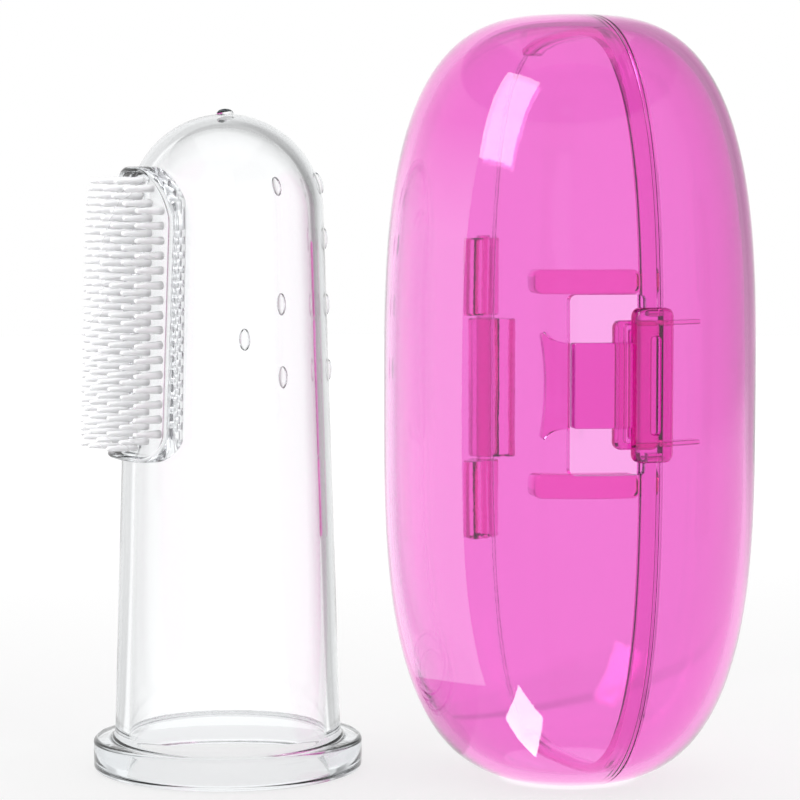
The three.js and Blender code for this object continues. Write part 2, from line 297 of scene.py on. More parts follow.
def lathe(name, profile, segments):
    """A closed solid of revolution about Z from a profile of (radius, height) points."""
    verts = []
    rings = []
    for radius, height in profile:
        if radius < 1e-6:
            rings.append([len(verts)] * segments)
            verts.append((0, 0, height))
            continue
        rings.append(list(range(len(verts), len(verts) + segments)))
        for k in range(segments):
            angle = 2 * PI * k / segments
            verts.append((radius * math.cos(angle), radius * math.sin(angle), height))
    faces = []
    pairs = list(zip(rings, rings[1:]))
    off_axis = profile[0][0] > 1e-6
    if off_axis:
        pairs.append((rings[-1], rings[0]))
    for low, high in pairs:
        for k in range(segments):
            j = (k + 1) % segments
            corners = [low[k], low[j], high[j], high[k]]
            face = [c for i, c in enumerate(corners) if c not in corners[:i]]
            if len(face) > 2:
                faces.append(face)
    return make(name, verts, faces)


def arc(centre, radius, start, end, steps):
    """Points on an arc of a profile; angles in degrees."""
    points = []
    for i in range(steps + 1):
        angle = math.radians(start + (end - start) * i / steps)
        points.append((centre[0] + radius * math.cos(angle), centre[1] + radius * math.sin(angle)))
    return points


def straight(a, b, steps):
    """Points from a towards b, without b."""
    return [(a[0] + (b[0] - a[0]) * i / steps, a[1] + (b[1] - a[1]) * i / steps) for i in range(steps)]


def rounded_polygon(corners, radii, spacing=0.5):
    """A closed outline with its corners rounded; corners go anticlockwise."""
    count = len(corners)
    points = []
    for i in range(count):
        before, here, after = (Vector(corners[(i + k) % count]) for k in (-1, 0, 1))
        to_before = (before - here).normalized()
        to_after = (after - here).normalized()
        half = to_before.angle(to_after) / 2
        radius = radii[i]
        if radius < 1e-6:
            points.append(here)
            continue
        reach = radius / math.tan(half)
        centre = here + (to_before + to_after).normalized() * radius / math.sin(half)
        first = here + to_before * reach - centre
        last = here + to_after * reach - centre
        turn = first.angle_signed(last)
        steps = max(4, round(abs(turn) * radius / 0.25))
        for k in range(steps + 1):
            points.append(centre + Matrix.Rotation(-turn * k / steps, 2) @ first)
    return resampled(points, spacing)


def resampled(points, spacing):
    """Adds points along the long edges of an outline."""
    dense = []
    for a, b in zip(points, points[1:] + points[:1]):
        steps = max(1, round((b - a).length / spacing))
        dense.extend(a.lerp(b, k / steps) for k in range(steps))
    return dense


def inset(points, margin):
    """The outline moved inwards by a margin."""
    moved = []
    count = len(points)
    for i in range(count):
        back = (points[i] - points[i - 1]).normalized()
        ahead = (points[(i + 1) % count] - points[i]).normalized()
        normal = Vector((-(back + ahead).y, (back + ahead).x)).normalized()
        slant = max(0.4, normal.dot(Vector((-back.y, back.x))))
        moved.append(points[i] + normal * margin / slant)
    return moved


def filled(outline, spacing):
    """Triangles over an outline, with points inside it so that they can follow a curved surface."""
    xs = [p.x for p in outline]
    ys = [p.y for p in outline]
    points = list(outline)
    across = math.ceil((max(xs) - min(xs)) / spacing)
    up = math.ceil((max(ys) - min(ys)) / spacing)
    for i in range(1, across):
        for k in range(1, up):
            x = min(xs) + i * (max(xs) - min(xs)) / across
            y = min(ys) + k * (max(ys) - min(ys)) / up
            p = Vector((x, y))
            if inside(p, outline) and min((p - q).length for q in outline) > spacing * 0.4:
                points.append(p)
    made = delaunay_2d_cdt(points, [], [list(range(len(outline)))], 1, 1e-6)
    return made[0], made[2]


def inside(point, outline):
    """Whether a point lies within a closed outline."""
    found = False
    for a, b in zip(outline, outline[1:] + outline[:1]):
        if (a.y > point.y) != (b.y > point.y):
            if point.x < a.x + (point.y - a.y) * (b.x - a.x) / (b.y - a.y):
                found = not found
    return found


def plate(name, outline, steps, surface, spacing=0.7):
    """A closed plate wrapped on a surface.

    steps lists (margin, height) from one face's rim, over the edge, to the other's; both faces are filled in.
    surface turns (across, up, height) into a point.
    """
    loops = [(inset(outline, margin) if margin else outline, height) for margin, height in steps]
    verts = []
    faces = []
    rings = []
    for loop, height in loops:
        rings.append(range(len(verts), len(verts) + len(loop)))
        verts.extend(surface(p.x, p.y, height) for p in loop)
    count = len(outline)
    for low, high in zip(rings, rings[1:]):
        for k in range(count):
            j = (k + 1) % count
            faces.append([low[k], low[j], high[j], high[k]])
    for loop, height in (loops[0], loops[-1]):
        points, triangles = filled(loop, spacing)
        start = len(verts)
        verts.extend(surface(p.x, p.y, height) for p in points)
        faces.extend([start + i for i in triangle] for triangle in triangles)
    return make(name, verts, faces)


def eased_edge(low, high, radius, turns=4):
    """(margin, height) steps of a plate from low to high with rounded edges."""
    steps = []
    for centre, start in ((low + radius, -90), (high - radius, 0)):
        for i in range(turns + 1):
            angle = math.radians(start + 90 * i / turns)
            steps.append((radius * (1 - math.cos(angle)), centre + radius * math.sin(angle)))
    return steps


def facing(azimuth, across, out, up):
    """The point a distance across and out from the axis, in a direction; across grows anticlockwise."""
    angle = math.radians(azimuth)
    return (
        out * math.cos(angle) - across * math.sin(angle),
        out * math.sin(angle) + across * math.cos(angle),
        up,
    )


# ---- Finger brush -------------------------------------------------------------------------------


def sleeve_radius(height):
    """The sleeve's outer radius: a cone up to the dome's centre, then the dome."""
    along = min(max(height, 0) / DOME_CENTRE, 1)
    side = MOUTH_RADIUS + (DOME_RADIUS - MOUTH_RADIUS) * along
    above = max(height - DOME_CENTRE, 0)
    return math.sqrt(max(side * side - above * above, 0))


def on_sleeve(across, up, height):
    """A point over the sleeve's surface, in front of the pad's direction."""
    above = max(up - DOME_CENTRE, 0)
    side = DOME_RADIUS if above else sleeve_radius(up)
    radius = math.sqrt(max((side + height) ** 2 - above * above, 0.01))
    out = math.sqrt(max(radius * radius - across * across, 0.01))
    return facing(PAD_AZIMUTH, across, out, up)


def brush_body():
    """The sleeve and its stop flange as one solid, and the finger's cavity to cut out of it."""
    bottom_round = 0.45
    top_round = 0.4
    root = sleeve_radius(FLANGE_THICKNESS)
    outside = [(0, 0), (FLANGE_RADIUS - bottom_round, 0)]
    outside += arc((FLANGE_RADIUS - bottom_round, bottom_round), bottom_round, -90, 0, 6)[1:]
    outside += arc((FLANGE_RADIUS - top_round, FLANGE_THICKNESS - top_round), top_round, 0, 90, 6)
    outside += arc((root + FILLET, FLANGE_THICKNESS + FILLET), FILLET, 270, 180, 8)
    foot = (sleeve_radius(FLANGE_THICKNESS + FILLET), FLANGE_THICKNESS + FILLET)
    outside += straight(foot, (DOME_RADIUS, DOME_CENTRE), 60)[1:]
    outside += arc((0, DOME_CENTRE), DOME_RADIUS, 0, 90, 40)
    outside[-1] = (0, BRUSH_HEIGHT)
    body = lathe("finger_brush", outside, 144)

    inner_dome = DOME_RADIUS - SLEEVE_WALL
    mouth = MOUTH_RADIUS - SLEEVE_WALL
    ease = 0.35
    cavity = [(0, -1), (mouth + ease, -1), (mouth + ease, 0)]
    cavity += arc((mouth + ease, ease), ease, -90, -180, 5)[1:]
    cavity += straight((mouth, ease), (inner_dome, DOME_CENTRE), 60)[1:]
    cavity += arc((0, DOME_CENTRE), inner_dome, 0, 90, 36)
    cavity[-1] = (0, DOME_CENTRE + inner_dome)
    return body, lathe("cavity", cavity, 144)


def pad_outline():
    """The bristle pad's outline, rounder at its top."""
    w = PAD_HALF_WIDTH
    corners = [(-w, PAD_BOTTOM), (w, PAD_BOTTOM), (w, PAD_TOP), (-w, PAD_TOP)]
    radii = [PAD_BOTTOM_CORNER, PAD_BOTTOM_CORNER, PAD_TOP_CORNER, PAD_TOP_CORNER]
    return rounded_polygon(corners, radii, 0.4)


def pad_plate():
    """A raised rounded border round a sunk field."""
    half = BORDER_WIDTH / 2
    turns = 8
    steps = [(0, -0.6), (0, -0.2), (0, PAD_THICKNESS * 0.5)]
    for i in range(turns + 1):
        angle = PI * (1 - i / turns)
        steps.append((half + half * math.cos(angle), PAD_THICKNESS + BORDER_HEIGHT * math.sin(angle)))
    steps.append((BORDER_WIDTH + 0.25, PAD_THICKNESS))
    return plate("pad", pad_outline(), steps, on_sleeve, 0.6)


def nub(azimuth, centre, tilt):
    """One oval nub, tilted up to stand square on the surface."""
    bm = bmesh.new()
    bmesh.ops.create_uvsphere(bm, u_segments=24, v_segments=16, radius=1)
    mesh = bpy.data.meshes.new("nub")
    bm.to_mesh(mesh)
    bm.free()
    obj = bpy.data.objects.new("nub", mesh)
    bpy.context.scene.collection.objects.link(obj)
    turn = Matrix.Rotation(math.radians(azimuth), 4, "Z") @ Matrix.Rotation(-math.radians(tilt), 4, "Y")
    mesh.transform(Matrix.Translation(centre) @ turn @ Matrix.Diagonal((*NUB_SIZE, 1)))
    return obj


def nubs():
    """Raised ovals on the sleeve's side and dome, cut off a little below its surface so that they join it."""
    made = []
    for azimuth, heights in SLEEVE_NUBS.items():
        for height in heights:
            made.append(nub(azimuth, facing(azimuth, 0, sleeve_radius(height), height), 0))
    for azimuth, tilt in DOME_NUBS:
        angle = math.radians(tilt)
        out = DOME_RADIUS * math.cos(angle)
        made.append(nub(azimuth, facing(azimuth, 0, out, DOME_CENTRE + DOME_RADIUS * math.sin(angle)), tilt))
    first = made.pop()
    first.name = "massage_nubs"
    combine(first, made, "UNION")
    depth = 0.3
    below_nubs = 20
    sunk = DOME_RADIUS - depth
    core = [(0, below_nubs), (sleeve_radius(below_nubs) - depth, below_nubs), (sunk, DOME_CENTRE)]
    core += arc((0, DOME_CENTRE), sunk, 0, 90, 40)[1:]
    core[-1] = (0, DOME_CENTRE + sunk)
    return combine(first, [lathe("core", core, 144)], "DIFFERENCE")


def on_field(across, height):
    """Whether a bristle's root lies within the pad's border."""
    margin = BORDER_WIDTH + BRISTLE_ROOT
    half = PAD_HALF_WIDTH - margin
    upper = height > (PAD_TOP + PAD_BOTTOM) / 2
    corner = max((PAD_TOP_CORNER if upper else PAD_BOTTOM_CORNER) - margin, 0)
    edge = PAD_TOP - margin - height if upper else height - PAD_BOTTOM - margin
    if abs(across) > half or edge < 0:
        return False
    past = (abs(across) - (half - corner), corner - edge)
    return past[0] < 0 or past[1] < 0 or math.hypot(*past) < corner


def bristles():
    """Tapering bristles with rounded ends, in staggered columns that fan out."""
    sides = 12
    length = BRISTLE_LENGTH + BRISTLE_SUNK
    profile = [(BRISTLE_ROOT, 0), (BRISTLE_ROOT * 0.93, length * 0.3), (BRISTLE_TIP * 1.12, length * 0.7)]
    profile += arc((0, length - BRISTLE_TIP), BRISTLE_TIP, 0, 75, 4)
    verts = []
    faces = []
    middle = (BRISTLE_COLUMNS - 1) / 2
    for column in range(BRISTLE_COLUMNS):
        azimuth = PAD_AZIMUTH + (column - middle) * COLUMN_ANGLE
        lean = math.radians(PAD_AZIMUTH + FAN * (azimuth - PAD_AZIMUTH))
        height = PAD_BOTTOM + FIRST_ROW + (column % 2) * BRISTLE_PITCH / 2
        while height < PAD_TOP:
            out = sleeve_radius(height) + PAD_THICKNESS
            across = out * math.sin(math.radians(azimuth - PAD_AZIMUTH))
            if on_field(across, height):
                root = Vector(facing(azimuth, 0, out - BRISTLE_SUNK, height))
                sway = noise.noise(Vector((column * 3.7, height * 2.1, 0.5))) * 0.05
                droop = noise.noise(Vector((column * 2.9, height * 1.7, 7.5))) * 0.04
                axis = Vector((math.cos(lean + sway), math.sin(lean + sway), droop)).normalized()
                side = axis.cross(Vector((0, 0, 1))).normalized()
                other = axis.cross(side)
                start = len(verts)
                for radius, along in profile:
                    for k in range(sides):
                        angle = 2 * PI * k / sides
                        around = side * math.cos(angle) + other * math.sin(angle)
                        verts.append(root + axis * along + around * radius)
                for ring in range(len(profile) - 1):
                    for k in range(sides):
                        j = (k + 1) % sides
                        a = start + ring * sides
                        faces.append([a + k, a + j, a + sides + j, a + sides + k])
                faces.append([start + k for k in range(sides)])
                last = start + (len(profile) - 1) * sides
                faces.append([last + k for k in range(sides)])
            height += BRISTLE_PITCH
    return make("bristles", verts, faces)


# ---- Case ---------------------------------------------------------------------------------------


def case_radius(up, offset):
    """The radius, at a height, of the case's outer form grown by an offset."""
    radius = CASE_RADIUS + offset
    half = CASE_HALF_LENGTH + offset
    return radius * max(1 - (abs(up) / half) ** CASE_POWER, 0) ** (1 / CASE_POWER)


def on_case(azimuth):
    """A surface for plate(): heights are measured out from the case's outer skin."""
    def point(across, up, height):
        radius = case_radius(up, height)
        out = math.sqrt(max(radius * radius - across * across, 0.01))
        return facing(azimuth, across, out, up)
    return point


def case_point(offset, along, depth):
    """A point of the case's outer form grown by an offset; along goes round the seam, depth from the
    seam plane towards one side, both as angles."""
    dx = math.sin(depth)
    dy = math.cos(depth) * math.cos(along)
    dz = math.cos(depth) * math.sin(along)
    scale = (math.hypot(dx, dy) ** CASE_POWER + abs(dz) ** CASE_POWER) ** (-1 / CASE_POWER)
    return Vector((
        (CASE_RADIUS + offset) * dx * scale,
        (CASE_RADIUS + offset) * dy * scale,
        (CASE_HALF_LENGTH + offset) * dz * scale,
    ))


def half_shell(name, side, lowest):
    """One half of the case, with a rounded rim; side is -1 for the main shell and +1 for the lid."""
    count = 192
    outer_rows = 72
    inner_rows = 56
    rim_turns = 5
    last_depth = 0.012
    clear_of_rim = RIM_ROUND * 1.2

    def face_loops(offset, rows):
        made = []
        for i in range(rows + 1):
            depth = (1 - i / rows) * PI / 2 + (i / rows) * last_depth
            made.append([case_point(offset, 2 * PI * k / count, depth) for k in range(count)])
        return made

    outer = face_loops(0, outer_rows)
    inner = face_loops(-CASE_WALL, inner_rows)
    rim_outer = [case_point(0, 2 * PI * k / count, 0) for k in range(count)]
    rim_inner = [case_point(-CASE_WALL, 2 * PI * k / count, 0) for k in range(count)]
    loops = [loop for loop in outer[1:] if loop[0].x > clear_of_rim]
    share = RIM_ROUND / CASE_WALL
    for near, far, order in ((rim_outer, rim_inner, 1), (rim_inner, rim_outer, -1)):
        arc_loops = []
        for i in range(rim_turns + 1):
            angle = PI / 2 * i / rim_turns
            weight = share * (1 - math.cos(angle))
            lift = RIM_ROUND * (1 - math.sin(angle))
            arc_loops.append([a.lerp(b, weight) + Vector((lift, 0, 0)) for a, b in zip(near, far)])
        loops += arc_loops[::order]
    loops += [loop for loop in inner[:0:-1] if loop[0].x > clear_of_rim]

    verts = [v for loop in loops for v in loop]
    faces = []
    for row in range(len(loops) - 1):
        for k in range(count):
            j = (k + 1) % count
            a = row * count
            faces.append([a + k, a + j, a + count + j, a + count + k])
    poles = ((0, outer[0][0]), (len(loops) - 1, inner[0][0]))
    for row, pole in poles:
        verts.append(pole)
        for k in range(count):
            j = (k + 1) % count
            faces.append([row * count + k, row * count + j, len(verts) - 1])
    for v in verts:
        v.x = side * (v.x + SEAM_GAP / 2)
        v.z = max(v.z, lowest)
    return make(name, verts, faces)


def rectangle(low, high, half, centre=LATCH_RISE, corner=0.3):
    """A rounded rectangle from low to high across, and half above and below its centre."""
    corners = [(low, centre - half), (high, centre - half), (high, centre + half), (low, centre + half)]
    return rounded_polygon(corners, [corner] * 4)


def latch_plate(name, outline, low, high, ease=0.12):
    """A plate at the latch, from low to high above the case's outer skin."""
    return plate(name, outline, eased_edge(low, high, ease), on_case(LATCH_FACING))


def knuckle(name, bottom, top, side):
    """A hinge barrel with rounded ends, and the leaf that joins it to the shell."""
    ease = 0.18
    bore = PIN_RADIUS + PIN_CLEARANCE
    profile = [(bore, bottom)]
    profile += arc((KNUCKLE_RADIUS - ease, bottom + ease), ease, -90, 0, 4)
    profile += arc((KNUCKLE_RADIUS - ease, top - ease), ease, 0, 90, 4)
    profile += [(bore, top)]
    barrel = lathe(name, profile, 48)
    barrel.data.transform(Matrix.Translation((0, HINGE_Y, 0)))
    low, high = sorted((side * LEAF_OFFSET, side * (LEAF_OFFSET + LEAF_WIDTH)))
    root = CASE_RADIUS - LEAF_SUNK
    end = HINGE_Y + 0.1
    corners = [(low, root), (high, root), (high, end), (low, end)]
    sharp, blunt = 0.2, 0.9
    radii = [sharp, sharp, blunt if side > 0 else sharp, sharp if side > 0 else blunt]
    outline = rounded_polygon(corners, radii, 1)
    steps = eased_edge(bottom, top, ease)
    leaf = plate("leaf", outline, steps, lambda x, y, height: (x, y, height), 1)
    hole = lathe("hole", [(0, bottom - 1), (bore, bottom - 1), (bore, top + 1), (0, top + 1)], 48)
    hole.data.transform(Matrix.Translation((0, HINGE_Y, 0)))
    leaf = combine(leaf, [hole], "DIFFERENCE")
    return combine(barrel, [leaf], "UNION")


def cutter(name, outline):
    """A thick plate that cuts right through the wall at the latch."""
    return plate(name, outline, [(0, -3), (0, 2)], on_case(LATCH_FACING), 1)


def main_moulding():
    """The main shell with its latch window, rim notch and two knuckles."""
    shell = half_shell("main_moulding", -1, FLOOR)
    window = cutter("window", rectangle(*WINDOW, corner=0.5))
    notch = cutter("notch", rectangle(*RIM_NOTCH, corner=0.05))
    combine(shell, [window, notch], "DIFFERENCE")
    knuckles = [knuckle("upper", OUTER_FROM, OUTER_TO, -1), knuckle("lower", -OUTER_TO, -OUTER_FROM, -1)]
    return combine(shell, knuckles, "UNION")


def window_rib(name, side):
    """A thick bar inside the wall, above or below the window."""
    centre = LATCH_RISE + side * (WINDOW[2] + RIB_HALF)
    outline = rectangle(*RIB_SPAN, RIB_HALF, centre, 0.6)
    return latch_plate(name, outline, -CASE_WALL - RIB_DEPTH, -CASE_WALL - 0.01, 0.25)


def curve(a, b, c, steps):
    """Points on a quadratic curve from a to c, without c."""
    points = []
    for i in range(steps):
        t = i / steps
        points.append(Vector(a) * (1 - t) ** 2 + Vector(b) * 2 * t * (1 - t) + Vector(c) * t * t)
    return points


def root_outline():
    """The tongue's flared end, with a concave back edge."""
    low, waist, high = -6.7, -6.0, -4.45
    half = 3.5
    flared = half + 0.9
    tip = 0.35
    points = []
    for side in (-1, 1):
        edge = curve((low + tip, LATCH_RISE + side * flared), (waist + 0.2, LATCH_RISE + side * half),
                     (high, LATCH_RISE + side * half), 8)
        edge.append(Vector((high, LATCH_RISE + side * half)))
        points += edge[::-side]
    top = (low, LATCH_RISE + flared - 0.25)
    bottom = (low, LATCH_RISE - flared + 0.25)
    points += curve(top, (waist, LATCH_RISE), bottom, 10)
    points.append(Vector(bottom))
    return resampled(points, 0.5)


def latch_moulding():
    """The springy tongue, its wider head with the nose inside, and the grooved thumb bar."""
    tongue = rectangle(*TONGUE, corner=0.2)
    tongue = latch_plate("latch_moulding", tongue, TONGUE_INNER, TONGUE_PROUD, 0.15)
    head = latch_plate("head", rectangle(*HEAD, corner=0.6), TONGUE_INNER, 0.02)
    nose = latch_plate("nose", rectangle(*NOSE, corner=0.2), -NOSE_DEPTH, -0.5)
    bridge = latch_plate("bridge", rectangle(*BRIDGE, corner=0.2), -0.3, 0.6)
    bar = plate("bar", rectangle(*THUMB_BAR, corner=0.7), bar_steps(), bar_point, 0.8)
    groove = plate(
        "groove",
        rectangle(*THUMB_GROOVE, corner=0.4),
        eased_edge(GROOVE_FLOOR, 2.5, 0.2),
        lambda across, up, height: facing(THUMB_FACING, across, CASE_RADIUS + height, up),
        1,
    )
    combine(bar, [groove], "DIFFERENCE")
    return combine(tongue, [head, nose, bridge, bar], "UNION")


def bar_steps():
    """(margin, height) steps of the thumb bar, from its foot over its rounded edge."""
    turns = 6
    steps = [(0.1, 0), (0, 0.08), (0, 0.55)]
    for i in range(1, turns + 1):
        angle = PI / 2 * i / turns
        steps.append((BAR_ROUND * (1 - math.cos(angle)), BAR_SHOULDER + BAR_ROUND * math.sin(angle)))
    return steps


def bar_point(across, up, height):
    """The bar's foot follows the case's skin, and its top is flat."""
    foot = 0.3
    if height < foot:
        skin = case_radius(up, 0)
        out = math.sqrt(max(skin * skin - across * across, 0.01)) + BAR_GAP + height
    else:
        out = CASE_RADIUS + height
    return facing(THUMB_FACING, across, out, up)


def lid_moulding():
    """The lid with its catch, the catch's seats, its knuckle and its locating lips."""
    shell = half_shell("lid_moulding", 1, FLOOR + LID_LIFT)
    parts = [latch_plate("catch", catch_outline(), -CATCH_DEPTH, -1.05, 0.08)]
    for side in (-1, 1):
        seat = rectangle(*SEAT, LATCH_RISE + side * SEAT_RISE, 0.1)
        parts.append(latch_plate("seat", seat, -1.3, -CASE_WALL + 0.1, 0.05))
    parts.append(knuckle("middle", -MIDDLE_TOP, MIDDLE_TOP, 1))
    parts += [lip(1), lip(-1)]
    return combine(shell, parts, "UNION")


def catch_outline():
    """Two fins joined by the bar that the latch's nose hooks behind."""
    low, bar, high, half, fin = -0.1, 0.55, 7.3, 5.2, 0.4
    corners = [(low, -half), (high, -half), (high, fin - half), (bar, fin - half)]
    corners += [(x, -y) for x, y in reversed(corners)]
    radii = [0.3, 0.15, 0.15, 0.2, 0.2, 0.15, 0.15, 0.3]
    return rounded_polygon([(x, LATCH_RISE + y) for x, y in corners], radii, 0.4)


def lip(side):
    """The locating lip inside the lid's rim, from one side of the catch round the end of the case."""
    count = 90
    size = len(LIP_SECTION)
    verts = []
    faces = []
    for i in range(count + 1):
        along = lip_angle(side, i / count)
        for x, offset in LIP_SECTION:
            point = case_point(offset, along, 0)
            verts.append((x, point.y, point.z))
    for i in range(count):
        for k in range(size):
            j = (k + 1) % size
            a = i * size
            faces.append([a + k, a + j, a + size + j, a + size + k])
    faces.append(list(range(size)))
    faces.append(list(range(count * size, (count + 1) * size)))
    return make("lip", verts, faces)


def lip_angle(side, share):
    """The angle round the seam of a share of the lip's length."""
    up = LATCH_RISE + side * LIP_START
    first = math.atan2(up / CASE_HALF_LENGTH, -1)
    last = math.atan2(side, LIP_END / CASE_RADIUS)
    if side < 0:
        first, last = first % (2 * PI), last % (2 * PI)
    return first + (last - first) * share


def hinge_pin():
    """The pin through the knuckles, rounded at its ends."""
    ease = 0.2
    top = OUTER_TO + PIN_PROUD
    profile = [(0, -top)]
    profile += arc((PIN_RADIUS - ease, -top + ease), ease, -90, 0, 4)
    profile += arc((PIN_RADIUS - ease, top - ease), ease, 0, 90, 4)
    profile += [(0, top)]
    pin = lathe("pin", profile, 40)
    pin.data.transform(Matrix.Translation((0, HINGE_Y, 0)))
    return pin


# ---- Materials ----------------------------------------------------------------------------------


def node(tree, kind, place, **values):
    """A new shader node with its inputs set."""
    made = tree.nodes.new(kind)
    made.location = place
    for name, value in values.items():
        made.inputs[name].default_value = value
    return made


def map_range(tree, value, before, after):
    """A value taken from one span to another, and held at its ends."""
    made = tree.nodes.new("ShaderNodeMapRange")
    for name, number in zip(("From Min", "From Max", "To Min", "To Max"), (*before, *after)):
        made.inputs[name].default_value = number
    tree.links.new(value, made.inputs["Value"])
    return made.outputs["Result"]


def clear_material(name, shader, absorb, density, rough, waviness, speck):
    """A clear moulded material: slightly uneven gloss, soft waviness of the skin, and tinted depth."""
    material = bpy.data.materials.new(name)
    material.use_nodes = True
    tree = material.node_tree
    tree.nodes.clear()
    output = node(tree, "ShaderNodeOutputMaterial", (600, 0))
    surface = node(tree, "ShaderNodeBsdfPrincipled", (300, 0), **shader)
    volume = node(tree, "ShaderNodeVolumeAbsorption", (300, -500), Color=absorb, Density=density)
    where = node(tree, "ShaderNodeTexCoord", (-700, 0))
    broad = node(tree, "ShaderNodeTexNoise", (-450, 150), Scale=55, Detail=2, Roughness=0.45)
    fine = node(tree, "ShaderNodeTexNoise", (-450, -150), Scale=900, Detail=3, Roughness=0.6)
    wave = node(tree, "ShaderNodeBump", (-150, -150), Strength=waviness, Distance=0.001)
    grain = node(tree, "ShaderNodeBump", (50, -150), Strength=speck, Distance=0.0001)
    links = tree.links
    links.new(where.outputs["Object"], broad.inputs["Vector"])
    links.new(where.outputs["Object"], fine.inputs["Vector"])
    links.new(map_range(tree, broad.outputs["Fac"], (0.3, 0.7), rough), surface.inputs["Roughness"])
    links.new(broad.outputs["Fac"], wave.inputs["Height"])
    links.new(fine.outputs["Fac"], grain.inputs["Height"])
    links.new(wave.outputs["Normal"], grain.inputs["Normal"])
    links.new(grain.outputs["Normal"], surface.inputs["Normal"])
    links.new(surface.outputs["BSDF"], output.inputs["Surface"])
    links.new(volume.outputs["Volume"], output.inputs["Volume"])
    return material


silicone = clear_material(
    "clear_silicone",
    {"Base Color": (1.0, 1.0, 1.0, 1), "IOR": 1.41, "Transmission Weight": 1.0},
    (0.5, 0.6, 0.66, 1),
    40,
    (0.015, 0.05),
    0.10,
    0.02,
)
frosted_silicone = clear_material(
    "bristle_silicone",
    {"Base Color": (0.99, 0.99, 1.0, 1), "IOR": 1.41, "Transmission Weight": 0.45},
    (0.5, 0.56, 0.6, 1),
    30,
    (0.2, 0.35),
    0.05,
    0.05,
)


def case_plastic(name, base, absorb, density):
    """The case's plastic; thick parts have a paler skin and denser depth than its walls."""
    shader = {"Base Color": (*base, 1), "IOR": 1.49, "Transmission Weight": 1.0}
    return clear_material(name, shader, (*absorb, 1), density, (0.02, 0.06), 0.08, 0.02)


pink_plastic = case_plastic("pink_plastic", (0.91, 0.49, 0.83), (0.985, 0.0, 0.72), 230)
rib_plastic = case_plastic("rib_plastic", (0.97, 0.9, 0.97), (0.97, 0.0, 0.74), 520)
latch_plastic = case_plastic("latch_plastic", (0.99, 0.88, 0.97), (0.90, 0.0, 0.733), 1350)

# ---- Assembly -----------------------------------------------------------------------------------


def install(obj, place, material, body, slot, *nodes):
    """Places a piece, gives it its material, and says which body it rides and which nodes it replaces."""
    finished(obj, place)
    obj.data.materials.clear()
    obj.data.materials.append(material)
    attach(obj, body)
    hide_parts(*nodes)
    return obj


def install_brush(obj, material, *nodes):
    """Installs a piece of the finger brush."""
    return install(obj, BRUSH_PLACE, material, "finger_brush", "clear_silicone", *nodes)


def install_case(obj, material, body, *nodes):
    """Installs a piece of the case."""
    return install(obj, CASE_PLACE, material, body, "pink_plastic", *nodes)


body, cavity = brush_body()
combine(body, [pad_plate(), nubs()], "UNION")
combine(body, [cavity], "DIFFERENCE")
nub_count = len(DOME_NUBS) + sum(len(heights) for heights in SLEEVE_NUBS.values())
nub_nodes = [f"massage_nub_{i + 1}" for i in range(nub_count)]
install_brush(body, silicone, "finger_sleeve", "stop_flange", *nub_nodes)
bristle_piece = install_brush(bristles(), frosted_silicone, "bristle_pad")
install_case(main_moulding(), pink_plastic, "case_shell", "main_shell", "hinge_knuckle_upper",
             "hinge_knuckle_lower")
latch_root = latch_plate("latch_root", root_outline(), 0.01, 0.6, 0.1)
install_case(latch_root, latch_plastic, "case_shell", "tongue_root")
install_case(window_rib("upper_rib", 1), rib_plastic, "case_shell", "window_rib_upper")
install_case(window_rib("lower_rib", -1), rib_plastic, "case_shell", "window_rib_lower")
install_case(latch_moulding(), latch_plastic, "latch", "latch_tongue", "thumb_bar")
install_case(lid_moulding(), pink_plastic, "lid", "lid_shell", "lid_catch", "lid_lip_upper",
             "lid_lip_lower", "hinge_knuckle_middle")
install_case(hinge_pin(), rib_plastic, "case_shell", "hinge_pin")

# ---- Stage, light and camera --------------------------------------------------------------------

FLOOR_RADIUS = 0.7

# Wall levels are (degrees past the backdrop's edge, level); the left card keeps only a share of its dark.
# The profile is in metres, and the case's own wall stands just inside the other.
WALL_STRENGTH = 1.08
WALL_LEVELS = ((0, 1.0), (8, 1.0), (20, 0.7), (27, 0.45), (41, 0.45), (46, 1.0))
WALL_PROFILE = ((0.02, 0.0002), (0.55, 0.0002), (0.72, 0.09), (0.78, 0.25), (0.78, 0.62))
BACKDROP_HALF_WIDTH = 0.8 * MOUTH_RADIUS * MM
LEFT_CARD_SHARE = 0.5
RIGHT_SHADE = 0.3
CASE_WALL_INWARD = 0.0004

# The side panel stands PANEL_GAP mm off the case, between two angles from its front round to its left.
# The low card's corners are in mm from the case's axis. Heights are in metres.
PANEL_GAP = 2.6
PANEL_ANGLES = (42, 104)
PANEL_HEIGHTS = (0.006, 0.061)
PANEL_COLOUR = (0.6, 1.0, 0.85, 1)
LOW_CARD = ((-12.9, -22.4), (-5.1, -17.7), (-4.0, -10.5), (-11.0, -14.2))
LOW_CARD_HEIGHT = 0.0004
LOW_CARD_STRENGTH = 16

CAMERA_LENS = 135
CAMERA_DISTANCE = 0.26
CAMERA_LEFT = 0.0147
CAMERA_RAISE = 0.02


